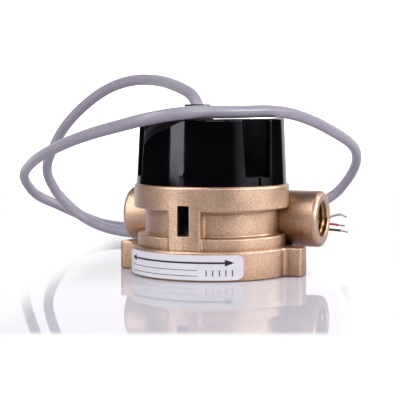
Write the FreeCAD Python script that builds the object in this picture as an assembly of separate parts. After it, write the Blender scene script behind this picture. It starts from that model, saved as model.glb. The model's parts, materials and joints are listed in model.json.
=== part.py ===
import FreeCAD, Part
import math
import os

Vector = FreeCAD.Vector
X_AXIS = Vector(1, 0, 0)
Z_AXIS = Vector(0, 0, 1)
ORIGIN = Vector(0, 0, 0)
TOLERANCE = 1e-4
FRONT_ANGLE = -90.0
BACK_ANGLE = 90.0

# A paddle-wheel flow sensor that stands on its lens side.  Millimetres, +Z up, the origin at the
# centre of the bottom face, the ports along X and the latch tower at -Y.

# Cast brass body, outside
flange_radius = 31.05
flange_height = 10.9
ring_radius = 28.4
ring_height = 4.5
neck_radius = 25.55
neck_height = 10.0
collar_radius = 29.75
collar_height = 9.1
collar_wall = 3.0
rim_round = 1.0
cast_edge = 0.6
cast_root = 0.8

# Ears with tapped holes for a panel
ear_reach = 37.1
ear_width = 8.6
ear_corner = 1.8
ear_root = 2.0
ear_hole_spacing = 66.0
ear_hole_radius = 1.65
ear_hole_depth = 8.0

# Threaded ports, set behind the body's axis so that the flow drives one side of the rotor
port_offset = 15.6
port_height = 20.4
port_radius = 10.9
port_reach = 40.0
port_round = 1.7
port_bore_radius = 6.85
port_bore_depth = 13.5
port_mouth = 0.6
passage_radius = 4.2

# Lens side and rotor chamber
lens_bore_radius = 26.5
lens_seat = 8.5
lens_thickness = 6.1
lens_spigot = 3.0
lens_boss_radius = 3.5
lens_boss_height = 0.8
lens_clearance = 0.2
chamber_radius = 21.5
roof_thickness = 2.4
collar_floor_rise = 3.0
roof_boss_radius = 3.2
roof_boss_height = 0.6
oring_section = 1.5
oring_squeeze_gap = 0.05
oring_groove_play = 0.2
snap_ring_thickness = 1.4
snap_ring_width = 3.2
snap_ring_reach = 1.2
snap_ring_opening_angle = 14.0
snap_ring_lug = 2.2
snap_ring_hole = 0.9
snap_ring_play = 0.1

# Rotor, its magnets and its shaft
pin_radius = 1.0
pin_seat_depth = 2.9
pin_end_gap = 0.1
pin_roof_depth = 1.5
press_gap = 0.02
running_gap = 0.03
axial_play = 0.1
washer_radius = 2.4
washer_thickness = 0.5
washer_gap = 0.05
bushing_wall = 1.6
hub_wall = 2.2
rotor_radius = 18.6
rotor_web = 1.4
rotor_web_radius = 17.0
rotor_recess = 0.3
vane_count = 6
vane_thickness = 1.8
vane_bend_radius = 17.0
vane_sweep_angle = 24.0
magnet_orbit = 15.0
magnet_radius = 2.0
magnet_length = 5.8
magnet_wall = 0.9
magnet_gap = 0.03

# Black housing that holds the electronics
cap_height = 24.6
cap_inset = 0.9
cap_taper = 1.15
cap_wall = 2.0
cap_edge = 0.8
skirt_length = 5.9
skirt_clearance = 0.4
skirt_wall = 1.8
flute_angle = 58.5
flute_depth = 3.2
flute_top_width = 13.4
flute_base_width = 11.6
flute_ledge = 3.0
flute_edge = 0.5
slit_width = 1.2
slit_depth = 1.2
mark_radius = 2.05
mark_depth = 0.3
mark_rise = 4.2
mark_angle = 3.0
hook_width = 8.0
hook_height = 1.5
hook_reach = 1.4
hook_rise = 1.9
hook_gap = 0.3

# Snap latch behind the tower's window
tower_width = 12.4
tower_edge = 0.7
tower_root = 1.5
window_width = 4.6
window_low = 16.35
window_high = 27.6
window_corner = 0.5
latch_width = 5.6
latch_thickness = 1.4
latch_wall = 3.6
latch_gap = 0.3
latch_nose_reach = 0.9
latch_nose_drop = 5.3
latch_ramp_drop = 1.5
latch_pivot_rise = 9.5
latch_knuckle = 1.2
latch_travel_angle = 3.4
latch_back_gap = 0.4
latch_pocket_low = 15.4
saddle_depth = 3.0
saddle_height = 3.0

# Circuit board and what it carries
base_thickness = 1.6
base_clearance = 0.1
post_count = 3
post_radius = 2.0
post_orbit = 18.0
post_angle = 90.0
board_rise = 3.0
board_thickness = 1.6
board_radius = 21.2
stake_radius = 0.9
stake_gap = 0.1
stake_rise = 0.6
hall_size = (4.2, 3.0, 1.6)
hall_tab = (0.5, 0.8)
regulator_size = (6.5, 3.6, 1.7)
regulator_place = (-9.0, 7.0)
tab_size = (0.8, 1.4, 0.5)
tab_pitch = 2.3
capacitor_radius = 3.1
capacitor_height = 7.0
capacitor_place = (9.5, 7.5)
capacitor_bead = 0.4
resistor_size = (3.2, 1.6, 0.6)
resistor_pitch = 3.0
resistor_count = 4
resistor_place = (4.0, -9.0)
terminal_radius = 0.5
terminal_height = 2.6
terminal_pitch = 3.2
terminal_row = -3.0

# Strain relief and cable
cable_diameter = 4.75
gland_radius = 4.8
gland_rise = 5.3
gland_neck_radius = 4.1
gland_flange_radius = 5.4
gland_flange_height = 1.8
gland_gap = 0.05
lead_diameter = 1.15
tinned_diameter = 0.7
lead_orbit = 1.05
lead_gap = 0.45
tip_gap = 0.25
lead_first_angle = 90.0
bend_share = 0.45

# Label on the flange
label_start_angle = -147.0
label_end_angle = -47.6
label_low = 0.75
label_high = 9.9
label_corner = 2.0
label_thickness = 0.12

# The cable's route: out of the housing's top, round behind the body, over the housing and back.
cable_route = [
    (-2.0, -3.5, 51.0), (-4.5, -1.0, 61.5), (-10.0, 5.5, 69.0), (-20.0, 16.5, 72.6),
    (-36.0, 34.0, 74.3), (-56.0, 51.0, 75.0), (-74.0, 61.0, 71.0), (-90.0, 68.0, 61.0),
    (-104.0, 78.0, 51.5), (-114.0, 84.0, 41.5), (-120.5, 92.5, 31.5), (-122.0, 100.5, 23.5),
    (-118.0, 106.0, 16.0), (-109.5, 108.5, 9.0), (-95.0, 104.0, 3.8), (-76.5, 98.5, 2.5),
    (-58.0, 99.5, 2.5), (-41.0, 111.0, 3.2), (-27.0, 127.5, 5.0), (-15.5, 145.0, 8.5),
    (-6.5, 158.0, 12.5), (4.0, 162.0, 18.5), (13.0, 156.5, 26.0), (19.5, 145.5, 34.0),
    (24.0, 131.0, 41.0), (27.0, 111.0, 46.0), (27.0, 79.5, 53.5), (25.0, 44.0, 62.2),
    (19.5, 13.0, 67.6), (12.0, -11.0, 67.7), (1.0, -27.5, 67.0), (-12.5, -35.0, 64.0),
    (-27.0, -29.0, 59.0), (-43.0, -16.0, 54.0), (-63.0, 1.0, 49.5), (-89.0, 27.0, 43.2),
    (-113.0, 61.0, 36.2), (-133.0, 90.0, 30.5), (-141.0, 108.0, 23.8), (-142.5, 122.0, 17.8),
    (-137.0, 131.5, 12.0), (-124.0, 135.0, 7.0), (-106.5, 128.0, 3.6), (-86.5, 124.5, 2.5),
    (-67.5, 125.0, 2.5), (-48.5, 131.5, 2.5), (-32.0, 141.0, 2.5), (-17.0, 149.5, 2.5),
    (-3.5, 154.5, 3.0),
]
# Each stripped lead from the cable's end: its own points, then the end of its tinned tip.
lead_routes = {
    "white": [(1.0, 156.0, 6.4), (5.0, 157.5, 9.2), (8.5, 159.0, 9.4), (11.0, 160.0, 8.0)],
    "red": [(1.2, 155.0, 4.4), (4.5, 156.8, 4.9), (7.6, 158.0, 4.1), (10.4, 159.0, 3.9)],
    "black": [(1.2, 154.6, 2.2), (4.5, 156.0, 2.0), (8.8, 157.6, 1.5), (12.0, 158.8, 0.7)],
}
lead_colours = ("white", "red", "black")

# Levels and radii that follow from the sizes above
ring_top = flange_height + ring_height
neck_top = ring_top + neck_height
collar_top = neck_top + collar_height
collar_floor = neck_top + collar_floor_rise
cavity_radius = collar_radius - collar_wall
front_limit = -(collar_radius + collar_wall)
chamber_top = collar_floor - roof_thickness
lens_low = lens_seat - lens_thickness
lens_radius = lens_bore_radius - lens_clearance
spigot_top = lens_seat + lens_spigot
spigot_radius = chamber_radius - lens_clearance
boss_top = spigot_top + lens_boss_height
roof_boss_low = chamber_top - roof_boss_height
groove_radius = lens_bore_radius + snap_ring_reach + snap_ring_play
snap_ring_low = lens_low - snap_ring_thickness
pin_low = boss_top - pin_seat_depth + pin_end_gap
pin_high = roof_boss_low + pin_roof_depth - pin_end_gap
bushing_low = boss_top + washer_thickness + axial_play
bushing_high = roof_boss_low - washer_thickness - axial_play
bushing_bore = pin_radius + running_gap
bushing_radius = bushing_bore + bushing_wall
hub_radius = bushing_radius + press_gap + hub_wall
rotor_low = bushing_low + rotor_recess
rotor_high = bushing_high - rotor_recess
cap_top = collar_top + cap_height
cap_base_radius = collar_radius - cap_inset
cap_top_radius = cap_base_radius - cap_taper
cap_lean = cap_taper / cap_height
flute_floor_radius = cap_base_radius - flute_depth
skirt_radius = cavity_radius - skirt_clearance
skirt_low = collar_top - skirt_length
skirt_bore = skirt_radius - skirt_wall
ledge_level = collar_top + flute_ledge
latch_outer = -(collar_radius - latch_wall - latch_gap)
latch_inner = latch_outer + latch_thickness
latch_wall_face = latch_outer - latch_gap
latch_nose_face = latch_wall_face - latch_nose_reach
latch_nose_top = window_high - latch_gap
latch_nose_low = latch_nose_top - latch_nose_drop
latch_ramp_low = latch_nose_low - latch_ramp_drop
latch_low = latch_pocket_low + latch_gap
latch_pivot_y = (latch_outer + latch_inner) / 2
latch_pivot_z = collar_top + latch_pivot_rise
latch_swing = (latch_pivot_z - latch_low) * math.tan(math.radians(latch_travel_angle))
latch_back = latch_inner + latch_swing + latch_back_gap
latch_half = latch_width / 2 + latch_gap
base_low = collar_floor
base_top = base_low + base_thickness
base_radius = skirt_bore - base_clearance
board_low = base_top + board_rise
board_top = board_low + board_thickness
gland_low = cap_top - cap_wall - gland_flange_height
gland_top = cap_top + gland_rise
cable_points = [Vector(*point) for point in cable_route]
cable_lean = cable_points[1] - cable_points[0]
gland_middle = cap_top - (cap_wall + gland_flange_height) / 2
gland_share = (gland_middle - cable_points[0].z) / cable_lean.z
gland_place = (cable_points[0].x + cable_lean.x * gland_share, cable_points[0].y + cable_lean.y * gland_share)


def box(low, high):
    """A box between two corners."""
    size = [b - a for a, b in zip(low, high)]
    return Part.makeBox(*size, Vector(*low))


def cylinder(radius, low, high, place=(0, 0)):
    """An upright cylinder between two levels."""
    return Part.makeCylinder(radius, high - low, Vector(*place, low))


def tube(outer, inner, low, high, place=(0, 0)):
    """An upright ring of rectangular section."""
    return cylinder(outer, low, high, place).cut(cylinder(inner, low, high, place))


def unit(vector):
    """The vector at length one."""
    return vector * (1 / vector.Length)


def corner_arc(before, corner, after, radius):
    """The start, middle and end of a tangent arc of this radius at a corner."""
    back = unit(before - corner)
    ahead = unit(after - corner)
    half = back.getAngle(ahead) / 2
    reach = radius / math.tan(half)
    middle = unit(back + ahead) * (radius / math.sin(half) - radius)
    return corner + back * reach, corner + middle, corner + ahead * reach


def outline(corners):
    """A closed wire from (point, corner radius) pairs."""
    joints = []
    count = len(corners)
    for index, (point, radius) in enumerate(corners):
        if radius > 0:
            before = corners[index - 1][0]
            after = corners[(index + 1) % count][0]
            joints.append(corner_arc(before, point, after, radius))
        else:
            joints.append((point, None, point))
    edges = []
    for index, (start, middle, end) in enumerate(joints):
        if middle is not None:
            edges.append(Part.Arc(start, middle, end).toShape())
        following = joints[(index + 1) % count][0]
        if (following - end).Length > TOLERANCE:
            edges.append(Part.LineSegment(end, following).toShape())
    return Part.Wire(edges)


def turned(profile, base=ORIGIN, axis=Z_AXIS, along=X_AXIS):
    """A solid of revolution from (radius, distance along the axis, corner radius) triples."""
    corners = [(base + along * r + axis * h, c) for r, h, c in profile]
    return Part.Face(outline(corners)).revolve(base, axis, 360)


def extruded(corners, direction):
    """A prism from an outline and an extrusion vector."""
    return Part.Face(outline(corners)).extrude(direction)


def around(shape, angle, base=ORIGIN, axis=Z_AXIS):
    """A turned copy of a shape."""
    copy = shape.copy()
    copy.rotate(base, axis, angle)
    return copy


def level_edges(shape, level):
    """The edges that lie at one height."""
    found = []
    for edge in shape.Edges:
        bounds = edge.BoundBox
        if bounds.ZLength < TOLERANCE and abs(bounds.ZMin - level) < TOLERANCE:
            found.append(edge)
    return found


def upright_edges(shape, distance):
    """The upright straight edges at a distance from the Z axis."""
    found = []
    for edge in shape.Edges:
        bounds = edge.BoundBox
        upright = bounds.XLength < TOLERANCE and bounds.YLength < TOLERANCE
        if upright and abs(math.hypot(bounds.XMin, bounds.YMin) - distance) < TOLERANCE:
            found.append(edge)
    return found


def flange():
    """The bottom flange with its two ears."""
    half = ear_width / 2
    disc = cylinder(flange_radius, 0, flange_height)
    bar = box((-ear_reach, -half, 0), (ear_reach, half, flange_height))
    shape = disc.fuse(bar).removeSplitter()
    shape = shape.makeFillet(ear_corner, upright_edges(shape, math.hypot(ear_reach, half)))
    shape = shape.makeFillet(ear_root, upright_edges(shape, flange_radius))
    outer = level_edges(shape, 0) + level_edges(shape, flange_height)
    return shape.makeFillet(cast_edge, outer)


def upper_casting():
    """Ring, neck and collar above the flange."""
    return turned([
        (0, flange_height, 0),
        (ring_radius, flange_height, 0),
        (ring_radius, ring_top, cast_edge),
        (neck_radius, ring_top, cast_root),
        (neck_radius, neck_top, cast_root),
        (collar_radius, neck_top, cast_edge),
        (collar_radius, collar_top, rim_round),
        (0, collar_top, 0),
    ])


def tower_side(side, radius, low, high):
    """The rounded inner corner between one side of the tower and a round wall of this radius."""
    half = tower_width / 2
    reach = half + 2 * tower_root
    near = half - tower_edge
    wire = [
        (Vector(side * near, front_limit, low), 0),
        (Vector(side * half, front_limit, low), 0),
        (Vector(side * half, -math.sqrt(radius ** 2 - half ** 2), low), tower_root),
        (Vector(side * reach, -math.sqrt(radius ** 2 - reach ** 2), low), 0),
        (Vector(side * reach, -chamber_radius, low), 0),
        (Vector(side * near, -chamber_radius, low), 0),
    ]
    return extruded(wire, Vector(0, 0, high - low))


def latch_tower():
    """The upright block at the front, its face in line with the collar."""
    half = tower_width / 2
    block = box((-half, front_limit, flange_height), (half, -chamber_radius, collar_floor))
    block = block.common(cylinder(collar_radius, flange_height, collar_top))
    block = block.makeFillet(tower_edge, upright_edges(block, collar_radius))
    corners = []
    for side in (-1, 1):
        near = side * (half - tower_edge)
        bend = side * half
        far = side * (half + tower_root)
        wire = [
            (Vector(near, front_limit, neck_top - tower_root), 0),
            (Vector(bend, front_limit, neck_top - tower_root), 0),
            (Vector(bend, front_limit, neck_top), tower_root),
            (Vector(far, front_limit, neck_top), 0),
            (Vector(far, front_limit, collar_floor), 0),
            (Vector(near, front_limit, collar_floor), 0),
        ]
        corners.append(extruded(wire, Vector(0, -chamber_radius - front_limit, 0)))
        corners.append(tower_side(side, neck_radius, ring_top, collar_floor))
        corners.append(tower_side(side, ring_radius, flange_height, ring_top))
    web = corners[0].fuse(corners[1:]).common(cylinder(collar_radius - tower_edge, flange_height, collar_top))
    return block.fuse(web)


def ports():
    """One straight barrel through the back of the body, rounded at both ends."""
    base = Vector(-port_reach, port_offset, port_height)
    length = 2 * port_reach
    profile = [(0, 0, 0), (port_radius, 0, port_round), (port_radius, length, port_round), (0, length, 0)]
    return turned(profile, base, X_AXIS, Z_AXIS)


def flow_way():
    """The passage past the rotor and the two port bores with chamfered mouths."""
    base = Vector(-port_reach, port_offset, port_height)
    length = 2 * port_reach
    mouth = port_bore_radius + port_mouth
    inner = length - port_bore_depth
    profile = [
        (0, 0, 0),
        (mouth, 0, 0),
        (port_bore_radius, port_mouth, 0),
        (port_bore_radius, port_bore_depth, 0),
        (passage_radius, port_bore_depth, 0),
        (passage_radius, inner, 0),
        (port_bore_radius, inner, 0),
        (port_bore_radius, length - port_mouth, 0),
        (mouth, length, 0),
        (0, length, 0),
    ]
    return turned(profile, base, X_AXIS, Z_AXIS)


def rotor_chamber():
    """Lens bore, snap ring groove and chamber, with a boss left on the roof."""
    groove_low = snap_ring_low - snap_ring_play
    groove_high = lens_low + snap_ring_play
    return turned([
        (0, 0, 0),
        (lens_bore_radius, 0, 0),
        (lens_bore_radius, groove_low, 0),
        (groove_radius, groove_low, 0),
        (groove_radius, groove_high, 0),
        (lens_bore_radius, groove_high, 0),
        (lens_bore_radius, lens_seat, 0),
        (chamber_radius, lens_seat, 0),
        (chamber_radius, chamber_top, cast_root),
        (roof_boss_radius, chamber_top, 0),
        (roof_boss_radius, roof_boss_low, 0),
        (0, roof_boss_low, 0),
    ])


def window():
    """The opening in the tower through which the latch is pressed."""
    half = window_width / 2
    corners = [(-half, window_low), (half, window_low), (half, window_high), (-half, window_high)]
    wire = [(Vector(x, front_limit, z), window_corner) for x, z in corners]
    return extruded(wire, Vector(0, latch_wall_face + latch_gap - front_limit, 0))


def ear_hole(side):
    """A blind tap drilling in one ear, from below."""
    place = (side * ear_hole_spacing / 2, 0)
    tip = Part.makeCone(ear_hole_radius, 0, ear_hole_radius / 2, Vector(*place, ear_hole_depth))
    return cylinder(ear_hole_radius, 0, ear_hole_depth, place).fuse(tip)


def brass_body():
    """The casting with everything machined into it."""
    body = flange().fuse([upper_casting(), latch_tower(), ports()]).removeSplitter()
    hook_half = hook_width / 2 + hook_gap
    hook_low = skirt_low + hook_rise - hook_gap
    hook_high = skirt_low + hook_rise + hook_height + hook_gap
    hook_slot = box((-hook_half, 0, hook_low), (hook_half, collar_radius, hook_high))
    hook_slot = hook_slot.common(cylinder(skirt_radius + hook_reach + hook_gap, hook_low, hook_high))
    cuts = [
        rotor_chamber(),
        flow_way(),
        cylinder(cavity_radius, collar_floor, collar_top),
        box((-latch_half, latch_wall_face, latch_pocket_low), (latch_half, latch_back, collar_top)),
        window(),
        hook_slot,
        cylinder(pin_radius + press_gap, roof_boss_low, pin_high + pin_end_gap),
        ear_hole(-1),
        ear_hole(1),
    ]
    return body.cut(cuts).removeSplitter()


def lens():
    """Clear disc with a spigot, a seal groove and a boss that holds the shaft's lower end."""
    groove_low = spigot_top - lens_spigot / 2 - oring_section / 2 - oring_groove_play
    groove_high = groove_low + oring_section + 2 * oring_groove_play
    groove_floor = chamber_radius - oring_section - 2 * oring_squeeze_gap
    blank = turned([
        (0, lens_low, 0),
        (lens_radius, lens_low, cast_edge),
        (lens_radius, lens_seat, 0),
        (spigot_radius, lens_seat, 0),
        (spigot_radius, groove_low, 0),
        (groove_floor, groove_low, 0),
        (groove_floor, groove_high, 0),
        (spigot_radius, groove_high, 0),
        (spigot_radius, spigot_top, 0),
        (lens_boss_radius, spigot_top, 0),
        (lens_boss_radius, boss_top, 0),
        (0, boss_top, 0),
    ])
    return blank.cut(cylinder(pin_radius + press_gap, pin_low - pin_end_gap, boss_top))


def lens_oring():
    """Seal ring in the lens groove."""
    level = spigot_top - lens_spigot / 2
    section = oring_section / 2
    return Part.makeTorus(chamber_radius - oring_squeeze_gap - section, section, Vector(0, 0, level))


def lens_retaining_ring():
    """Internal snap ring with an opening between two drilled lugs."""
    outer = lens_bore_radius + snap_ring_reach
    inner = lens_bore_radius - snap_ring_width
    ring = tube(outer, inner, snap_ring_low, lens_low)
    half = math.radians(snap_ring_opening_angle) / 2
    gap = box((-inner * math.sin(half), 0, snap_ring_low), (inner * math.sin(half), outer, lens_low))
    ring = ring.cut(gap)
    holes = []
    for side in (-1, 1):
        turn = math.pi / 2 + side * (half + snap_ring_lug / inner)
        place = (inner * math.cos(turn), inner * math.sin(turn))
        ring = ring.fuse(cylinder(snap_ring_lug, snap_ring_low, lens_low, place).cut(gap))
        holes.append(cylinder(snap_ring_hole, snap_ring_low, lens_low, place))
    return ring.cut(holes).removeSplitter()


def rotor_pin():
    """Fixed ceramic shaft between lens and roof."""
    return cylinder(pin_radius, pin_low, pin_high)


def thrust_washers():
    """One washer on the lens boss and one under the roof boss."""
    bore = pin_radius + washer_gap
    lower = tube(washer_radius, bore, boss_top, boss_top + washer_thickness)
    upper = tube(washer_radius, bore, roof_boss_low - washer_thickness, roof_boss_low)
    return Part.makeCompound([lower, upper])


def rotor_bushing():
    """Sleeve that runs on the shaft."""
    return tube(bushing_radius, bushing_bore, bushing_low, bushing_high)


def vane_centre():
    """Centre of a vane's bend and the angles, seen from it, of the vane's root and tip."""
    root = Vector(hub_radius / 2, 0, 0)
    turn = math.radians(vane_sweep_angle)
    tip = Vector(rotor_radius * math.cos(turn), rotor_radius * math.sin(turn), 0)
    chord = tip - root
    across = unit(Z_AXIS.cross(chord))
    depth = math.sqrt(vane_bend_radius ** 2 - (chord.Length / 2) ** 2)
    centre = (root + tip) * (1 / 2) + across * depth
    angles = [math.atan2((p - centre).y, (p - centre).x) for p in (root, tip)]
    return centre, angles[0], angles[1]


def on_bend(centre, radius, angle, level):
    """A point on a circle about the bend's centre."""
    return Vector(centre.x + radius * math.cos(angle), centre.y + radius * math.sin(angle), level)


def vane():
    """One curved vane from the hub to the rim."""
    centre, start, end = vane_centre()
    middle = (start + end) / 2
    edges = []
    ends = []
    for side in (-1, 1):
        radius = vane_bend_radius + side * vane_thickness / 2
        points = [on_bend(centre, radius, a, rotor_low) for a in (start, middle, end)]
        edges.append(Part.Arc(*points).toShape())
        ends.append((points[0], points[2]))
    edges.append(Part.LineSegment(ends[0][0], ends[1][0]).toShape())
    edges.append(Part.LineSegment(ends[0][1], ends[1][1]).toShape())
    face = Part.Face(Part.Wire(Part.__sortEdges__(edges)))
    return face.extrude(Vector(0, 0, rotor_high - rotor_low))


def magnet_places():
    """Centres of the magnets, each where its vane's middle line crosses the magnets' orbit."""
    centre = vane_centre()[0]
    toward = unit(centre)
    square = magnet_orbit ** 2 - vane_bend_radius ** 2 + centre.Length ** 2
    along = square / (2 * centre.Length)
    across = math.sqrt(magnet_orbit ** 2 - along ** 2)
    point = toward * along - Z_AXIS.cross(toward) * across
    turns = [360 / vane_count * n for n in range(vane_count)]
    return [around(Part.Vertex(point), turn).Point for turn in turns]


def rotor():
    """Hub, web and curved vanes with a magnet pocket near each tip."""
    hub = cylinder(hub_radius, rotor_low, rotor_high)
    web = cylinder(rotor_web_radius, rotor_low, rotor_low + rotor_web)
    vanes = [around(vane(), 360 / vane_count * n) for n in range(vane_count)]
    boss_radius = magnet_radius + magnet_gap + magnet_wall
    places = [(point.x, point.y) for point in magnet_places()]
    bosses = [cylinder(boss_radius, rotor_low, rotor_high, place) for place in places]
    pocket_low = rotor_high - magnet_length
    pocket_radius = magnet_radius + magnet_gap
    pockets = [cylinder(pocket_radius, pocket_low, rotor_high, place) for place in places]
    bore = cylinder(bushing_radius + press_gap, rotor_low, rotor_high)
    return hub.fuse([web] + vanes + bosses).cut([bore] + pockets).removeSplitter()


def rotor_magnets():
    """Small bar magnets, flush with the vanes' top."""
    places = [(point.x, point.y) for point in magnet_places()]
    low = rotor_high - magnet_length
    return Part.makeCompound([cylinder(magnet_radius, low, rotor_high, place) for place in places])


def cap_radius(level):
    """The housing's outer radius at a height."""
    return cap_base_radius - cap_lean * (level - collar_top)


def flute(grow):
    """One side recess of the housing, or the block inside it when grown by the wall."""
    low = ledge_level - grow
    high = cap_top + cap_edge
    base = flute_base_width / 2 + grow
    top = flute_top_width / 2 + grow
    reach = flute_floor_radius - grow
    corners = [(-base, low), (base, low), (top, high), (-top, high)]
    wire = [(Vector(reach, y, z), 0) for y, z in corners]
    return extruded(wire, Vector(cap_base_radius - reach + grow, 0, 0))


def flute_turns():
    """Directions of the four flutes, two each side of the tower and of its opposite."""
    return [middle + side * flute_angle for middle in (FRONT_ANGLE, BACK_ANGLE) for side in (-1, 1)]


def flute_edges(shape):
    """The edges where the housing's outer faces meet the walls of the flutes."""
    found = []
    for edge in shape.Edges:
        faces = [face.Surface for face in shape.ancestorsOfType(edge, Part.Face)]
        flat = [one for one in faces if isinstance(one, Part.Plane)]
        upright = [one for one in flat if abs(one.Axis.z) < 1 - TOLERANCE]
        if len(faces) == 2 and len(flat) == 1 and upright:
            found.append(edge)
    return found


def slit():
    """The narrow groove below a flute's ledge."""
    half = slit_width / 2
    outer = cap_base_radius + slit_depth
    return box((cap_base_radius - slit_depth, -half, collar_top), (outer, half, ledge_level))


def front_mark():
    """The round shallow mark above the tower."""
    level = collar_top + mark_rise
    depth = cap_radius(level + mark_radius) - mark_depth
    mark = Part.makeCylinder(mark_radius, cap_base_radius, Vector(depth, 0, level), X_AXIS)
    return around(mark, FRONT_ANGLE + mark_angle)


def cap_cavity():
    """The inside of the housing: skirt bore, then the shell's inner cone less the flutes' backs."""
    shelf = collar_top + cap_wall
    roof = cap_top - cap_wall
    cavity = turned([
        (0, skirt_low, 0),
        (skirt_bore, skirt_low, 0),
        (skirt_bore, shelf, 0),
        (cap_radius(shelf) - cap_wall, shelf, 0),
        (cap_radius(roof) - cap_wall, roof, 0),
        (0, roof, 0),
    ])
    backs = [around(flute(cap_wall), turn) for turn in flute_turns()]
    return cavity.cut(backs)


def latch_saddle():
    """The block inside the housing that the latch's root bears against."""
    half = latch_width / 2
    inner = latch_pivot_y + saddle_depth / 2
    outer = -(cap_radius(latch_pivot_z) - cap_wall / 2)
    return box((-half, outer, latch_pivot_z), (half, inner, latch_pivot_z + saddle_height))


def latch_room():
    """The space round the latch's knuckle."""
    base = Vector(-latch_half, latch_pivot_y, latch_pivot_z)
    return Part.makeCylinder(latch_knuckle + latch_gap, 2 * latch_half, base, X_AXIS)


def rear_hook():
    """The fixed tab at the back of the skirt."""
    half = hook_width / 2
    low = skirt_low + hook_rise
    tab = box((-half, 0, low), (half, collar_radius, low + hook_height))
    return tab.common(tube(skirt_radius + hook_reach, skirt_bore, low, low + hook_height))


def electronics_housing():
    """The black housing that clips onto the casting."""
    shell = turned([
        (0, skirt_low, 0),
        (skirt_radius, skirt_low, 0),
        (skirt_radius, collar_top, 0),
        (cap_base_radius, collar_top, 0),
        (cap_top_radius, cap_top, cap_edge),
        (0, cap_top, 0),
    ])
    shell = shell.cut([around(flute(0), turn) for turn in flute_turns()])
    shell = shell.makeFillet(flute_edge, flute_edges(shell))
    slits = [around(slit(), turn) for turn in flute_turns()]
    shell = shell.cut([cap_cavity(), front_mark()] + slits)
    slot_low = (-latch_half, -cavity_radius, skirt_low)
    slot_high = (latch_half, 0, collar_top + cap_wall)
    latch_slot = box(slot_low, slot_high)
    gland_hole = cylinder(gland_neck_radius + gland_gap, gland_low, cap_top, gland_place)
    shell = shell.cut([latch_slot, gland_hole]).fuse([latch_saddle(), rear_hook()])
    return shell.cut(latch_room()).removeSplitter()


def snap_latch():
    """Springy tongue with a nose under the window's upper edge."""
    half = latch_width / 2
    nose_half = window_width / 2 - latch_gap
    arm = box((-half, latch_outer, latch_low), (half, latch_inner, latch_pivot_z))
    knuckle_base = Vector(-half, latch_pivot_y, latch_pivot_z)
    knuckle = Part.makeCylinder(latch_knuckle, latch_width, knuckle_base, X_AXIS)
    side = [
        (latch_outer, latch_nose_top),
        (latch_nose_face, latch_nose_top),
        (latch_nose_face, latch_nose_low),
        (latch_outer, latch_ramp_low),
    ]
    wire = [(Vector(-nose_half, y, z), 0) for y, z in side]
    nose = extruded(wire, Vector(2 * nose_half, 0, 0))
    return arm.fuse([knuckle, nose]).removeSplitter()


def post_places():
    """Centres of the board's posts."""
    places = []
    for n in range(post_count):
        turn = math.radians(post_angle + 360 / post_count * n)
        places.append((post_orbit * math.cos(turn), post_orbit * math.sin(turn)))
    return places


def housing_base():
    """Plate that closes the housing below, with staked posts for the board."""
    plate = cylinder(base_radius, base_low, base_top)
    notch = box((-latch_half, -base_radius, base_low), (latch_half, latch_back, base_top))
    plate = plate.cut(notch)
    for place in post_places():
        post = cylinder(post_radius, base_top, board_low, place)
        stake = cylinder(stake_radius, board_low, board_top + stake_rise, place)
        plate = plate.fuse([post, stake])
    return plate.removeSplitter()


def circuit_board():
    """Round board on the posts."""
    holes = [cylinder(stake_radius + stake_gap, board_low, board_top, place) for place in post_places()]
    return cylinder(board_radius, board_low, board_top).cut(holes)


def chip(size, place, level):
    """A small rectangular component that stands on a level."""
    x, y = place
    return box((x - size[0] / 2, y - size[1] / 2, level), (x + size[0] / 2, y + size[1] / 2, level + size[2]))


def hall_sensor():
    """Sensor under the board, over the magnets' path, with three tabs up to the board."""
    place = (0, -magnet_orbit)
    low = board_low - hall_tab[1] - hall_size[2]
    shape = chip(hall_size, place, low)
    for step in (-1, 0, 1):
        tab_place = (step * hall_size[0] / 3, place[1])
        shape = shape.fuse(chip((hall_tab[0], hall_tab[0], hall_tab[1]), tab_place, board_low - hall_tab[1]))
    return shape.removeSplitter()


def voltage_regulator():
    """Flat regulator with three tabs on the board's top."""
    x, y = regulator_place
    shape = chip(regulator_size, regulator_place, board_top)
    for step in (-1, 0, 1):
        tab_place = (x + step * tab_pitch, y - regulator_size[1] / 2 - tab_size[1] / 2)
        shape = shape.fuse(chip(tab_size, tab_place, board_top))
    return shape.removeSplitter()


def smoothing_capacitor():
    """Round can with a rolled bead near its foot."""
    bead = board_top + capacitor_height / 4
    base = Vector(*capacitor_place, 0)
    return turned([
        (0, board_top, 0),
        (capacitor_radius, board_top, 0),
        (capacitor_radius, bead - capacitor_bead, 0),
        (capacitor_radius - capacitor_bead, bead, 0),
        (capacitor_radius, bead + capacitor_bead, 0),
        (capacitor_radius, board_top + capacitor_height, capacitor_bead),
        (0, board_top + capacitor_height, 0),
    ], base)


def chip_resistors():
    """A row of small resistors."""
    x, y = resistor_place
    return Part.makeCompound([
        chip(resistor_size, (x, y + n * resistor_pitch), board_top) for n in range(resistor_count)
    ])


def terminal_places():
    """Where the three inner leads meet the board, in the order of the lead colours."""
    return [(gland_place[0] + step * terminal_pitch, terminal_row) for step in (1, 0, -1)]


def lead_terminals():
    """Solder pins for the three inner leads."""
    high = board_top + terminal_height
    return Part.makeCompound([cylinder(terminal_radius, board_top, high, p) for p in terminal_places()])


def cord_edges(points):
    """Straight runs joined by tangent arcs as large as the runs allow, and the arcs' radii."""
    edges = []
    start = points[0]
    radii = []
    for index in range(1, len(points) - 1):
        before, corner, after = points[index - 1:index + 2]
        half = (corner - before).getAngle(after - corner) / 2
        shorter = min((corner - before).Length, (after - corner).Length)
        radius = bend_share * shorter / math.tan(half)
        radii.append(radius)
        first, middle, last = corner_arc(before, corner, after, radius)
        edges.append(Part.LineSegment(start, first).toShape())
        edges.append(Part.Arc(first, middle, last).toShape())
        start = last
    edges.append(Part.LineSegment(start, points[-1]).toShape())
    return edges, radii


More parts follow.
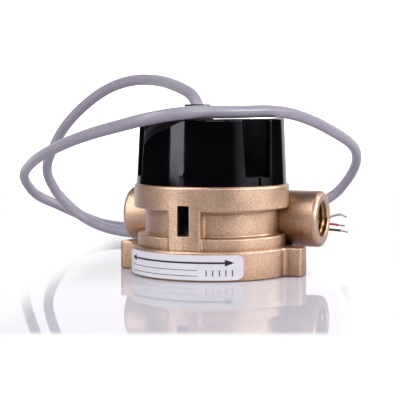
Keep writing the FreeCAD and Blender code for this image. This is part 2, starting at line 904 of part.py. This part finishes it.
def swept(edges, diameter):
    """A round bar along a chain of edges."""
    begin = edges[0].FirstParameter
    circle = Part.makeCircle(diameter / 2, edges[0].valueAt(begin), edges[0].tangentAt(begin))
    return Part.Wire(edges).makePipeShell([Part.Wire(circle)], True, False)


def cord(points, diameter, name):
    """A round cord along a route."""
    edges, radii = cord_edges(points)
    solid = swept(edges, diameter)
    length = sum(edge.Length for edge in edges)
    share = solid.Volume / (math.pi * diameter ** 2 / 4 * length)
    print(name, "arc radii", [round(radius, 1) for radius in radii])
    print(name, "length", round(length, 1), "volume share", round(share, 4))
    return solid


def strain_relief():
    """Rubber bush: a flange inside the housing, a neck in its hole and a sleeve that leans with the cable."""
    edges = cord_edges(cable_points[:4])[0]
    sleeve = swept(edges, 2 * gland_radius)
    below = cylinder(2 * gland_radius, cable_points[0].z - gland_radius, cap_top, gland_place)
    above = cylinder(2 * collar_radius, gland_top, cable_points[3].z + 2 * gland_radius)
    sleeve = sleeve.cut([below, above])
    lower = cylinder(gland_flange_radius, gland_low, cap_top - cap_wall, gland_place)
    neck = cylinder(gland_neck_radius, cap_top - cap_wall, cap_top, gland_place)
    bore = swept(edges, cable_diameter + 2 * gland_gap)
    return lower.fuse([neck, sleeve]).cut(bore).removeSplitter()


def cable():
    """The jacketed cable."""
    return cord(cable_points, cable_diameter, "cable")


def lead_starts(end, direction):
    """Three points in a triangle just off a cable's end face, in the order of the lead colours."""
    side = unit(direction.cross(Z_AXIS)) if direction.cross(Z_AXIS).Length > TOLERANCE else X_AXIS
    up = unit(side.cross(direction))
    starts = []
    for n in range(len(lead_colours)):
        angle = math.radians(lead_first_angle + 360 / len(lead_colours) * n)
        place = (side * math.cos(angle) + up * math.sin(angle)) * lead_orbit
        starts.append(end + direction * lead_gap + place)
    return starts


def outer_lead(colour):
    """A stripped lead at the cable's far end, without its tinned tip."""
    direction = unit(cable_points[-1] - cable_points[-2])
    start = lead_starts(cable_points[-1], direction)[lead_colours.index(colour)]
    points = [start] + [Vector(*point) for point in lead_routes[colour][:-1]]
    return cord(points, lead_diameter, "lead_" + colour)


def tinned_ends():
    """The bare tinned tips of the three leads."""
    tips = []
    for colour in lead_colours:
        start, end = [Vector(*point) for point in lead_routes[colour][-2:]]
        along = end - start
        begin = start + unit(along) * tip_gap
        tips.append(Part.makeCylinder(tinned_diameter / 2, along.Length - tip_gap, begin, along))
    return Part.makeCompound(tips)


def inner_lead(colour):
    """A lead inside the housing, from the cable's near end down to its terminal."""
    index = lead_colours.index(colour)
    direction = unit(cable_points[0] - cable_points[1])
    start = lead_starts(cable_points[0], direction)[index]
    place = terminal_places()[index]
    foot = Vector(*place, board_top + terminal_height)
    above = foot + Z_AXIS * ((start.z - foot.z) / 3)
    below = start + direction * ((start.z - foot.z) / 3)
    return cord([start, below, above, foot], lead_diameter, "inner_lead_" + colour)


def label():
    """Thin plain label on the flange's front, with rounded corners."""
    outer = flange_radius + label_thickness
    band = tube(outer, flange_radius, label_low, label_high)
    half = math.radians(label_end_angle - label_start_angle) / 2
    side = outer * math.sin(half)
    middle = (label_start_angle + label_end_angle) / 2
    corners = [(-side, label_low), (side, label_low), (side, label_high), (-side, label_high)]
    wire = [(Vector(0, y, z), label_corner) for y, z in corners]
    plate = extruded(wire, Vector(outer, 0, 0))
    return band.common(around(plate, middle))


PIECES = {
    "brass_body": brass_body,
    "lens": lens,
    "lens_oring": lens_oring,
    "lens_retaining_ring": lens_retaining_ring,
    "rotor_pin": rotor_pin,
    "thrust_washers": thrust_washers,
    "rotor": rotor,
    "rotor_bushing": rotor_bushing,
    "rotor_magnets": rotor_magnets,
    "electronics_housing": electronics_housing,
    "snap_latch": snap_latch,
    "housing_base": housing_base,
    "circuit_board": circuit_board,
    "hall_sensor": hall_sensor,
    "voltage_regulator": voltage_regulator,
    "smoothing_capacitor": smoothing_capacitor,
    "chip_resistors": chip_resistors,
    "lead_terminals": lead_terminals,
    "strain_relief": strain_relief,
    "cable": cable,
    "wire_white": lambda: outer_lead("white"),
    "wire_red": lambda: outer_lead("red"),
    "wire_black": lambda: outer_lead("black"),
    "tinned_ends": tinned_ends,
    "inner_lead_white": lambda: inner_lead("white"),
    "inner_lead_red": lambda: inner_lead("red"),
    "inner_lead_black": lambda: inner_lead("black"),
    "label": label,
}

os.makedirs("parts", exist_ok=True)
for node, make in PIECES.items():
    shape = make()
    if not shape.isValid():
        raise ValueError(node + " is not a valid solid")
    print(node, "solids", len(shape.Solids), "volume", round(shape.Volume, 1))
    shape.exportStep("parts/" + node + ".step")
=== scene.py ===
import json
import math

import bmesh
import bpy
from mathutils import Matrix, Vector


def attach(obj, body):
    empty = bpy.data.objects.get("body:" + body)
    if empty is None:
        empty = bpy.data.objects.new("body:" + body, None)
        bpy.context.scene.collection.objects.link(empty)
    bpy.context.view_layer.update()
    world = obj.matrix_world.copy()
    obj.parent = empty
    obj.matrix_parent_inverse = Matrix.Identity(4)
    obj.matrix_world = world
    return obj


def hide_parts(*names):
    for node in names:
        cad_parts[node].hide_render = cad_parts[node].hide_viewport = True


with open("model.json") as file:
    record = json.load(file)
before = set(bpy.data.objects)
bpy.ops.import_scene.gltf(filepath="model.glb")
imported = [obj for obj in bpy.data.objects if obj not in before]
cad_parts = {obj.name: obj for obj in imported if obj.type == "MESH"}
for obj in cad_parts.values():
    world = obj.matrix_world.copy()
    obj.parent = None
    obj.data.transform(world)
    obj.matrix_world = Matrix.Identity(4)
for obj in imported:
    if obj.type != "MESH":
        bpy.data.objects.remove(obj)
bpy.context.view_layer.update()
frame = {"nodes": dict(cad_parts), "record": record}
scene = bpy.context.scene
scene.view_settings.view_transform = "Standard"
MM = 0.001

# Camera at the photograph's angle
camera_data = bpy.data.cameras.new("camera")
camera_data.sensor_fit = "HORIZONTAL"
camera_data.sensor_width = 36.0
camera_data.lens = 117.36
camera = bpy.data.objects.new("camera", camera_data)
camera.location = (0.17698, -0.46763, 0.0658)
camera.rotation_euler = (math.radians(85.64), 0.0, math.radians(21.25))
scene.collection.objects.link(camera)
scene.camera = camera


# Materials

def new_material(name):
    """A material with its tree, shader and object coordinates in metres."""
    material = bpy.data.materials.new(name)
    material.use_nodes = True
    tree = material.node_tree
    place = tree.nodes.new("ShaderNodeTexCoord").outputs["Object"]
    return material, tree, tree.nodes["Principled BSDF"], place


def noise(tree, place, scale, detail=2.0, stretch=None):
    """A noise value, scale in waves per metre, with the axes stretched where that is given."""
    if stretch:
        mapping = tree.nodes.new("ShaderNodeMapping")
        mapping.inputs["Scale"].default_value = stretch
        tree.links.new(place, mapping.inputs["Vector"])
        place = mapping.outputs["Vector"]
    node = tree.nodes.new("ShaderNodeTexNoise")
    node.inputs["Scale"].default_value = scale
    node.inputs["Detail"].default_value = detail
    tree.links.new(place, node.inputs["Vector"])
    return node.outputs["Fac"]


def spread(tree, value, low, high, start=0.3, end=0.7):
    """The value from start to end mapped to low to high."""
    node = tree.nodes.new("ShaderNodeMapRange")
    node.inputs["From Min"].default_value = start
    node.inputs["From Max"].default_value = end
    node.inputs["To Min"].default_value = low
    node.inputs["To Max"].default_value = high
    tree.links.new(value, node.inputs["Value"])
    return node.outputs["Result"]


def colours(tree, value, stops):
    """A colour that follows (value, colour) stops."""
    node = tree.nodes.new("ShaderNodeValToRGB")
    elements = node.color_ramp.elements
    while len(elements) < len(stops):
        elements.new(1.0)
    for element, (position, colour) in zip(elements, stops):
        element.position = position
        element.color = (*colour, 1.0)
    tree.links.new(value, node.inputs["Fac"])
    return node.outputs["Color"]


def feed(tree, value, socket):
    """Gives a socket a number or what another socket puts out."""
    if isinstance(value, float):
        socket.default_value = value
    else:
        tree.links.new(value, socket)


def join(tree, operation, first, second):
    """One value from two."""
    node = tree.nodes.new("ShaderNodeMath")
    node.operation = operation
    feed(tree, first, node.inputs[0])
    feed(tree, second, node.inputs[1])
    return node.outputs[0]


def bumps(tree, shader, layers):
    """Bump from (height, strength, distance) layers, one over the other."""
    below = None
    for height, strength, distance in layers:
        node = tree.nodes.new("ShaderNodeBump")
        node.inputs["Strength"].default_value = strength
        node.inputs["Distance"].default_value = distance
        tree.links.new(height, node.inputs["Height"])
        if below:
            tree.links.new(below, node.inputs["Normal"])
        below = node.outputs["Normal"]
    tree.links.new(below, shader.inputs["Normal"])
    tree.links.new(below, shader.inputs["Coat Normal"])


def openness(tree, distance, inside=False):
    """How open the surface is within a distance, lower in corners or, from the inside, along edges."""
    node = tree.nodes.new("ShaderNodeAmbientOcclusion")
    node.inputs["Distance"].default_value = distance
    node.inside = inside
    return node.outputs["AO"]


def cast_brass():
    """Bead-blasted brass: a fine grain over slow changes of tone, with painted shade in corners and creases
    and a painted highlight along edges.
    """
    edge_highlight_width = 0.0009
    crease_shade_reach = 0.0016
    corner_shade_reach = 0.014
    material, tree, shader, place = new_material("cast_brass")
    grain = noise(tree, place, 1900.0, 2.0)
    cloud = noise(tree, place, 140.0, 3.0)
    # Painted highlight: the tone is lighter along convex edges.
    painted_edge_highlight = spread(tree, openness(tree, edge_highlight_width, True), 0.16, 0.0, 0.4, 0.85)
    # Painted shade: the tone is darker in creases and in corners, where the surface is less open.
    painted_crease_shade = spread(tree, openness(tree, crease_shade_reach), 0.6, 1.0, 0.4, 0.85)
    corners = spread(tree, openness(tree, corner_shade_reach), 0.2, 1.0, 0.15, 0.85)
    tone = join(tree, "ADD", spread(tree, grain, 0.37, 0.63), spread(tree, cloud, -0.04, 0.04))
    tone = join(tree, "ADD", tone, painted_edge_highlight)
    # The painted shade of corners and creases pulls the tone down.
    tone = join(tree, "MULTIPLY", tone, join(tree, "MULTIPLY", corners, painted_crease_shade))
    # The darkest stop is the dark brown of the painted shade in corners.
    ramp = [(0.0, (0.10, 0.045, 0.02)), (0.3, (0.48, 0.29, 0.172)), (0.7, (0.93, 0.67, 0.51))]
    tree.links.new(colours(tree, tone, ramp), shader.inputs["Base Color"])
    shader.inputs["Metallic"].default_value = 1.0
    tree.links.new(spread(tree, cloud, 0.42, 0.50), shader.inputs["Roughness"])
    shader.inputs["Coat Weight"].default_value = 0.9
    shader.inputs["Coat Roughness"].default_value = 0.3
    bumps(tree, shader, [(cloud, 0.15, 0.0002), (grain, 0.56, 0.0001)])
    return material


def cut_brass():
    """Machined brass, with turning marks across the cut, its colours darkened as painted shade inside the
    bores.
    """
    material, tree, shader, place = new_material("cut_brass")
    marks = noise(tree, place, 900.0, 3.0, (3.0, 0.4, 0.4))
    # Painted shade: both colours are darker than machined brass, for the shade inside the bores.
    ramp = [(0.3, (0.24, 0.13, 0.055)), (0.7, (0.58, 0.39, 0.20))]
    tree.links.new(colours(tree, marks, ramp), shader.inputs["Base Color"])
    shader.inputs["Metallic"].default_value = 1.0
    tree.links.new(spread(tree, marks, 0.18, 0.30), shader.inputs["Roughness"])
    bumps(tree, shader, [(marks, 0.2, 0.0001)])
    return material


def moulded(name, low, high, rough, cloud_scale=220.0, grain_scale=1800.0, grain=0.1, tint=(1.0, 1.0, 1.0)):
    """A moulded plastic, rubber or ceramic with slow colour change and a fine surface grain."""
    material, tree, shader, place = new_material(name)
    cloud = noise(tree, place, cloud_scale, 3.0)
    fine = noise(tree, place, grain_scale, 2.0)
    tree.links.new(colours(tree, cloud, [(0.3, low), (0.7, high)]), shader.inputs["Base Color"])
    tree.links.new(spread(tree, cloud, *rough), shader.inputs["Roughness"])
    shader.inputs["IOR"].default_value = 1.5
    shader.inputs["Specular Tint"].default_value = (*tint, 1.0)
    bumps(tree, shader, [(fine, grain, 0.00004)])
    return material


def bright_metal(name, low, high, rough, scale=1500.0):
    """A plain metal with faint marks."""
    material, tree, shader, place = new_material(name)
    marks = noise(tree, place, scale, 3.0)
    tree.links.new(colours(tree, marks, [(0.3, low), (0.7, high)]), shader.inputs["Base Color"])
    shader.inputs["Metallic"].default_value = 1.0
    tree.links.new(spread(tree, marks, *rough), shader.inputs["Roughness"])
    bumps(tree, shader, [(marks, 0.12, 0.00005)])
    return material


def clear_plastic():
    """The clear moulded lens."""
    material, tree, shader, place = new_material("clear_lens")
    haze = noise(tree, place, 300.0, 3.0)
    ramp = [(0.3, (0.90, 0.94, 0.95)), (0.7, (0.97, 0.99, 1.0))]
    tree.links.new(colours(tree, haze, ramp), shader.inputs["Base Color"])
    tree.links.new(spread(tree, haze, 0.03, 0.08), shader.inputs["Roughness"])
    shader.inputs["IOR"].default_value = 1.49
    shader.inputs["Transmission Weight"].default_value = 1.0
    bumps(tree, shader, [(haze, 0.05, 0.00005)])
    return material


# Each slot's finish: a darker and a lighter colour, a range of roughness, and what else sets it apart
finishes = {
    "cast_brass": cast_brass(),
    "clear_lens": clear_plastic(),
    "black_rubber": moulded("black_rubber", (0.012, 0.012, 0.013), (0.024, 0.024, 0.026), (0.75, 0.9),
                            grain=0.4),
    "spring_steel": bright_metal("spring_steel", (0.46, 0.46, 0.48), (0.62, 0.62, 0.64), (0.25, 0.38)),
    "ceramic": moulded("ceramic", (0.84, 0.84, 0.81), (0.92, 0.92, 0.90), (0.15, 0.25)),
    "washer_plastic": moulded("washer_plastic", (0.78, 0.76, 0.70), (0.88, 0.86, 0.81), (0.4, 0.5)),
    "rotor_plastic": moulded("rotor_plastic", (0.06, 0.13, 0.36), (0.09, 0.18, 0.46), (0.35, 0.45)),
    "magnet": bright_metal("magnet", (0.38, 0.37, 0.36), (0.52, 0.51, 0.49), (0.2, 0.32)),
    "black_gloss_plastic": moulded("black_gloss_plastic", (0.0016, 0.0014, 0.0020), (0.0030, 0.0026, 0.0036),
                                   (0.05, 0.10), cloud_scale=90.0, grain_scale=1200.0, grain=0.03,
                                   tint=(0.93, 0.88, 1.0)),
    "black_matte_plastic": moulded("black_matte_plastic", (0.014, 0.014, 0.015), (0.026, 0.026, 0.028),
                                   (0.4, 0.5)),
    "board_green": moulded("board_green", (0.02, 0.17, 0.075), (0.04, 0.26, 0.12), (0.3, 0.42)),
    "chip_black": moulded("chip_black", (0.022, 0.022, 0.022), (0.038, 0.038, 0.038), (0.5, 0.62),
                          grain=0.35),
    "can_aluminium": bright_metal("can_aluminium", (0.68, 0.68, 0.70), (0.82, 0.82, 0.84), (0.25, 0.35)),
    "tinned_metal": bright_metal("tinned_metal", (0.30, 0.27, 0.24), (0.44, 0.40, 0.36), (0.28, 0.4),
                                 scale=4000.0),
    "cable_jacket": moulded("cable_jacket", (0.365, 0.336, 0.417), (0.405, 0.373, 0.457), (0.30, 0.38),
                            cloud_scale=120.0, grain_scale=1500.0),
    "wire_white": moulded("wire_white", (0.34, 0.32, 0.31), (0.42, 0.40, 0.39), (0.35, 0.45)),
    "wire_red": moulded("wire_red", (0.33, 0.025, 0.05), (0.44, 0.04, 0.075), (0.35, 0.45)),
    "wire_black": moulded("wire_black", (0.015, 0.015, 0.015), (0.026, 0.026, 0.026), (0.35, 0.45)),
    "label_white": moulded("label_white", (0.74, 0.73, 0.795), (0.80, 0.79, 0.845), (0.34, 0.44),
                           cloud_scale=160.0, grain_scale=900.0),
}
for subpart in frame["record"]["subparts"]:
    mesh = frame["nodes"][subpart["node"]].data
    mesh.materials.clear()
    mesh.materials.append(finishes[subpart["material_slot"]])


# Pieces

def add_piece(name, data, material, body="sensor"):
    """Links a new piece, gives it its finish and lets it ride on a body."""
    piece = bpy.data.objects.new(name, data)
    data.materials.append(material)
    scene.collection.objects.link(piece)
    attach(piece, body)
    return piece


def smooth_line(name, points, radius):
    """A round line along a quadratic NURBS spline, points in millimetres."""
    data = bpy.data.curves.new(name, "CURVE")
    data.dimensions = "3D"
    data.bevel_depth = radius * MM
    data.bevel_resolution = 5
    data.use_fill_caps = True
    data.resolution_u = 10
    spline = data.splines.new("NURBS")
    spline.points.add(len(points) - 1)
    for point, place in zip(spline.points, points):
        point.co = (*(MM * value for value in place), 1.0)
    spline.order_u = 3
    spline.use_endpoint_u = True
    return data


def mesh_piece(name, shape, material, smooth=True):
    """A piece from a bmesh in millimetres."""
    bmesh.ops.scale(shape, vec=(MM, MM, MM), verts=shape.verts)
    bmesh.ops.recalc_face_normals(shape, faces=shape.faces)
    data = bpy.data.meshes.new(name)
    shape.to_mesh(data)
    shape.free()
    if smooth:
        data.shade_smooth()
        data.set_sharp_from_angle(angle=math.radians(35))
    return add_piece(name, data, material)


def swept(rings):
    """A closed bmesh through rings of points."""
    shape = bmesh.new()
    loops = [[shape.verts.new(point) for point in ring] for ring in rings]
    for loop, following in zip(loops, loops[1:]):
        for index in range(len(loop)):
            after = (index + 1) % len(loop)
            shape.faces.new((loop[index], loop[after], following[after], following[index]))
    shape.faces.new(loops[0])
    shape.faces.new(loops[-1])
    return shape


# The cable on its solid's route, nearer to the housing where it crosses it
cable_radius = 2.375
cable_route = [
    (-2.0, -3.5, 51.0), (-4.5, -1.0, 61.5), (-9.7, 5.5, 68.0), (-20.4, 16.2, 71.4),
    (-36.0, 34.0, 74.3), (-56.0, 51.0, 75.0), (-74.0, 61.0, 71.0), (-90.6, 67.8, 61.5),
    (-104.4, 77.9, 52.2), (-113.5, 84.5, 42.0), (-121.0, 92.4, 32.6), (-121.5, 100.7, 23.7),
    (-118.0, 106.0, 16.0), (-109.6, 108.4, 8.6), (-95.0, 103.6, 4.0), (-76.5, 97.5, 2.6),
    (-58.0, 99.0, 2.5), (-41.0, 111.0, 3.2), (-27.0, 127.5, 5.0), (-15.5, 145.0, 8.5),
    (-6.5, 158.0, 12.5), (4.0, 162.0, 18.5), (12.3, 156.3, 26.5), (19.2, 145.4, 34.3),
    (23.7, 130.8, 40.6), (26.5, 110.8, 46.1), (27.1, 79.5, 52.0), (25.2, 43.0, 58.8),
    (21.0, 16.0, 62.05), (12.6, -11.4, 61.45), (2.0, -29.2, 61.85), (-12.2, -34.7, 59.3),
    (-26.0, -27.8, 56.5), (-43.0, -16.0, 53.4), (-63.0, 1.0, 49.0), (-88.5, 27.0, 42.4),
    (-112.2, 61.4, 36.9), (-132.2, 90.3, 30.4), (-140.3, 108.3, 24.4), (-141.6, 122.3, 17.0),
    (-136.0, 131.9, 12.6), (-124.0, 135.0, 7.0), (-106.6, 127.9, 3.0), (-86.5, 124.5, 2.5),
    (-67.5, 125.0, 2.5), (-48.5, 131.5, 2.5), (-32.0, 141.0, 2.5), (-17.0, 149.5, 2.5),
    (-3.5, 154.5, 3.0),
]
cable_line = smooth_line("cable_cord", cable_route, cable_radius)
cable = add_piece("cable_cord", cable_line, finishes["cable_jacket"])
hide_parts("cable")

# The three stripped leads, their tinned tips kept from the solids
lead_radius = 0.575
leads = {
    "wire_white": [(-3.11, 154.64, 4.07), (1.0, 156.0, 6.4), (5.0, 157.5, 9.2), (8.5, 159.0, 9.4)],
    "wire_red": [(-3.38, 155.52, 2.49), (1.2, 155.0, 4.4), (4.5, 156.8, 4.9), (7.6, 158.0, 4.1)],
    "wire_black": [(-2.75, 153.81, 2.49), (1.2, 154.6, 2.2), (4.5, 156.0, 2.0), (8.8, 157.6, 1.5)],
}
for node, route in leads.items():
    lead = add_piece("lead_" + node, smooth_line("lead_" + node, route, lead_radius), finishes[node])
    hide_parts(node)


# Thread in both ports
thread_brass = cut_brass()
port_axis = Vector((0.0, 15.6, 20.4))
port_end = 39.2
bore_radius = 6.85
pitch = 1.41
turns = 8
steps = 48
run_out_turns = 2 / 3
crest_height = 0.62
crest_half = 0.1
root_half = 0.6
root_sink = 0.02


def thread(name, side):
    """A right-handed ridge that runs out at both ends."""
    root = bore_radius + root_sink
    rings = []
    for step in range(turns * steps + 1):
        turn = step / steps
        angle = -side * 2 * math.pi * turn
        middle = side * (port_end - pitch * turn)
        crest = bore_radius - crest_height * min(1.0, turn / run_out_turns, (turns - turn) / run_out_turns)
        section = ((-root_half, root), (-crest_half, crest), (crest_half, crest), (root_half, root))
        outward = Vector((0.0, math.cos(angle), math.sin(angle)))
        rings.append([port_axis + Vector((middle + offset, 0.0, 0.0)) + radius * outward
                      for offset, radius in section])
    return mesh_piece(name, swept(rings), thread_brass)


thread("outlet_thread", 1)
thread("inlet_thread", -1)


# Printed arrow, ruled lines and ticks, in millimetres along and up the label
label_radius = 31.17
label_middle = math.radians(-97.3)
ink_sink = 0.015
ink_thickness = 0.035
arrow_height = 7.1
arrow_width = 0.7
arrow_tip = 23.5
head_back = 20.0
head_half = 1.25
tip_half = 0.02
rule_left = -23.5
rule_right = 10.0
rule_heights = (4.4, 2.3)
rule_width = 0.22
tick_count = 5
tick_start = 13.0
tick_pitch = 2.4
tick_width = 0.4
tick_middle = 3.35
tick_length = 2.3


def printed(shape, corners, across=1, along=1):
    """A flat four-cornered patch in label millimetres, divided so that it can follow the label."""
    rows = []
    for row in range(along + 1):
        left = corners[0].lerp(corners[3], row / along)
        right = corners[1].lerp(corners[2], row / along)
        points = [left.lerp(right, column / across) for column in range(across + 1)]
        rows.append([shape.verts.new(point.to_3d()) for point in points])
    for low, high in zip(rows, rows[1:]):
        for column in range(across):
            shape.faces.new((low[column], low[column + 1], high[column + 1], high[column]))


def bar(shape, left, right, middle, width):
    """A straight printed line."""
    corners = [Vector((left, middle - width / 2)), Vector((right, middle - width / 2)),
               Vector((right, middle + width / 2)), Vector((left, middle + width / 2))]
    printed(shape, corners, across=max(1, round(right - left)))


def head(shape, tip, back, middle):
    """A printed arrowhead."""
    corners = [Vector((back, middle - head_half)), Vector((tip, middle - tip_half)),
               Vector((tip, middle + tip_half)), Vector((back, middle + head_half))]
    printed(shape, corners, across=4, along=2)


ink = bmesh.new()
bar(ink, -head_back, head_back, arrow_height, arrow_width)
for side in (-1, 1):
    head(ink, side * arrow_tip, side * head_back, arrow_height)
for height in rule_heights:
    bar(ink, rule_left, rule_right, height, rule_width)
for tick in range(tick_count):
    tick_left = tick_start + tick_pitch * tick
    bar(ink, tick_left, tick_left + tick_width, tick_middle, tick_length)
bmesh.ops.remove_doubles(ink, verts=ink.verts, dist=1e-5)
grown = bmesh.ops.extrude_face_region(ink, geom=ink.faces[:], use_keep_orig=True)
for vertex in grown["geom"]:
    if isinstance(vertex, bmesh.types.BMVert):
        vertex.co.z = ink_thickness
for vertex in ink.verts:
    angle = label_middle + vertex.co.x / label_radius
    radius = label_radius - ink_sink + vertex.co.z
    vertex.co = (radius * math.cos(angle), radius * math.sin(angle), vertex.co.y)
ink_black = moulded("ink_black", (0.012, 0.012, 0.014), (0.03, 0.03, 0.034), (0.35, 0.5))
mesh_piece("label_print", ink, ink_black, smooth=False)


# Fine parting line down the front of the casting, above and below the window
# Painted shade: the bead's brass is darker than the casting's, for the fine dark line.
line_brass = bright_metal("line_brass", (0.30, 0.19, 0.12), (0.40, 0.26, 0.17), (0.4, 0.5), scale=3200.0)
tower_front = -29.75
upper_start = 27.65
lower_start = 11.1
lower_end = 16.3
rim_low = 33.5
rim_radius = 1.0
bead_half = 0.11
bead_top_half = 0.05
bead_lift = 0.05


def parting_line(name, profile):
    """A low bead along a profile of (y, z) points with their outward directions."""
    section = ((-bead_half, -bead_lift), (-bead_top_half, bead_lift),
               (bead_top_half, bead_lift), (bead_half, -bead_lift))
    rings = [[(offset, y + lift * out_y, z + lift * out_z) for offset, lift in section]
             for y, z, out_y, out_z in profile]
    return mesh_piece(name, swept(rings), line_brass, smooth=False)


rim = [(tower_front + rim_radius * (1.0 - math.cos(turn)), rim_low + rim_radius * math.sin(turn),
        -math.cos(turn), math.sin(turn)) for turn in (0.0, 0.4, 0.8, 1.2, 1.5)]
parting_line("parting_line_upper", [(tower_front, upper_start, -1.0, 0.0)] + rim)
parting_line("parting_line_lower",
             [(tower_front, lower_start, -1.0, 0.0), (tower_front, lower_end, -1.0, 0.0)])


# Stage, along the camera's level directions
back = Vector((-0.354, 0.935, 0.0))
right = Vector((0.935, 0.354, 0.0))
up = Vector((0.0, 0.0, 1.0))


def rise(tree, vector, axis, start, end, high=1.0):
    """A level from zero to high as a vector's share along an axis goes from start to end."""
    dot = tree.nodes.new("ShaderNodeVectorMath")
    dot.operation = "DOT_PRODUCT"
    dot.inputs[1].default_value = axis
    tree.links.new(vector, dot.inputs[0])
    node = tree.nodes.new("ShaderNodeMapRange")
    node.interpolation_type = "SMOOTHSTEP"
    for name, value in (("From Min", start), ("From Max", end), ("To Min", 0.0), ("To Max", high)):
        node.inputs[name].default_value = value
    tree.links.new(dot.outputs["Value"], node.inputs["Value"])
    return node.outputs["Result"]


def background_white(tree, near, far):
    """The near level for rays from the camera and through glass, and the far level in reflections."""
    paths = tree.nodes.new("ShaderNodeLightPath").outputs
    seen = join(tree, "MAXIMUM", paths["Is Camera Ray"], paths["Is Transmission Ray"])
    reflected = join(tree, "MULTIPLY", far, paths["Is Glossy Ray"])
    return join(tree, "MAXIMUM", join(tree, "MULTIPLY", near, seen), reflected)


def mixed(tree, share, first, second):
    """One shader that goes over into another by a share."""
    node = tree.nodes.new("ShaderNodeMixShader")
    feed(tree, share, node.inputs[0])
    tree.links.new(first.outputs[0], node.inputs[1])
    tree.links.new(second.outputs[0], node.inputs[2])
    return node


def table_top():
    """A pale table, half polished and half dull, that runs out into plain white away from the object."""
    colour = (0.62, 0.597, 0.667, 1.0)
    dull_share = 0.5
    # Ways out from the object, each with the metres at which the white starts and is full
    fades = [(back, 0.06, 0.14), (-back, 0.130, 0.139),
             (right - 0.109 * back, 0.046, 0.0545), (0.09 * back - right, 0.044, 0.062)]
    # The white comes closer at the right, from a little in front of the casting on
    closer_right = (0.034, 0.040)
    closer_back = (-0.060, -0.035)
    reflected_back = (0.20, 0.34)
    material, tree, polished, place = new_material("floor")
    polished.inputs["Base Color"].default_value = colour
    polished.inputs["Roughness"].default_value = 0.03
    polished.inputs["IOR"].default_value = 1.5
    dull = tree.nodes.new("ShaderNodeBsdfDiffuse")
    dull.inputs["Color"].default_value = colour
    glow = tree.nodes.new("ShaderNodeEmission")
    outside = join(tree, "MULTIPLY", rise(tree, place, right, *closer_right),
                   rise(tree, place, back, *closer_back))
    for way, start, end in fades:
        outside = join(tree, "MAXIMUM", outside, rise(tree, place, way, start, end))
    white = background_white(tree, outside, rise(tree, place, back, *reflected_back))
    surface = mixed(tree, white, mixed(tree, dull_share, polished, dull), glow)
    tree.links.new(surface.outputs[0], tree.nodes["Material Output"].inputs["Surface"])
    return material


# A small table, its edges square to the camera
table_left = -0.4
table_right = 0.22
table_front = -0.15
table_back = 0.45
corners = [right * across + back * along
           for across, along in ((table_left, table_front), (table_right, table_front),
                                 (table_right, table_back), (table_left, table_back))]
floor_data = bpy.data.meshes.new("floor")
floor_data.from_pydata(corners, [], [(0, 1, 2, 3)])
floor_data.materials.append(table_top())
floor = bpy.data.objects.new("floor", floor_data)
scene.collection.objects.link(floor)

# The world is a pale backdrop behind the object, a dimmer wall at its right and a dark room in front.
backdrop_edge = (0.72, 0.88)
backdrop_level = 0.9
bright_edge = (0.95, 0.98)
bright_level = 1.2
wall_side = Vector((0.999, 0.03, 0.0))
wall_edge = (0.75, 1.0)
wall_level = 0.9
horizon = (-0.02, 0.02)
room_level = 0.01
world = bpy.data.worlds.new("studio")
scene.world = world
world.use_nodes = True
tree = world.node_tree
background = tree.nodes["Background"]
direction = tree.nodes.new("ShaderNodeTexCoord").outputs["Generated"]
backdrop = join(tree, "ADD", rise(tree, direction, back, *backdrop_edge, high=backdrop_level),
                rise(tree, direction, back, *bright_edge, high=bright_level))
wall = join(tree, "MULTIPLY", rise(tree, direction, wall_side, *wall_edge, high=wall_level),
            rise(tree, direction, up, *horizon))
room = join(tree, "MAXIMUM", join(tree, "MAXIMUM", backdrop, wall), room_level)
white = background_white(tree, 1.0, rise(tree, direction, back, *backdrop_edge))
tree.links.new(join(tree, "MAXIMUM", room, white), background.inputs["Strength"])
background.inputs["Color"].default_value = (1.0, 1.0, 1.0, 1.0)


def softbox(name, place, aim, width, height, radiance):
    """A rectangular lamp of this radiance."""
    data = bpy.data.lights.new(name, "AREA")
    data.shape = "RECTANGLE"
    data.size = width
    data.size_y = height
    data.energy = radiance * math.pi * width * height
    lamp = bpy.data.objects.new(name, data)
    lamp.location = place
    lamp.rotation_euler = (Vector(aim) - Vector(place)).to_track_quat("-Z", "Y").to_euler()
    lamp.visible_camera = False
    scene.collection.objects.link(lamp)


# Lamps, most of them aimed at the middle of the casting
casting_middle = (0.0, 0.0, 0.03)
softbox("strip_left", (-0.445, -0.665, 0.62), (0.0, 0.0, 0.30), 0.41, 1.2, 3.7)
softbox("side_left", (-0.824, -0.452, 0.372), casting_middle, 0.4, 0.3, 1.5)
softbox("front", (0.403, -0.835, 0.405), casting_middle, 0.5, 0.25, 4.2)
softbox("top_left", (-0.302, -0.369, 0.763), (-0.06, 0.06, 0.04), 0.5, 0.5, 2.4)
softbox("top_right", (0.410, 0.244, 0.763), (0.0, 0.06, 0.04), 0.4, 0.4, 3.0)
softbox("high_right", (0.789, -0.356, 0.530), casting_middle, 0.5, 0.5, 1.8)
softbox("near_right", (0.938, -0.153, 0.339), casting_middle, 0.34, 0.24, 9.8)
softbox("far_right", (0.817, 0.486, 0.339), casting_middle, 0.34, 0.24, 14.0)
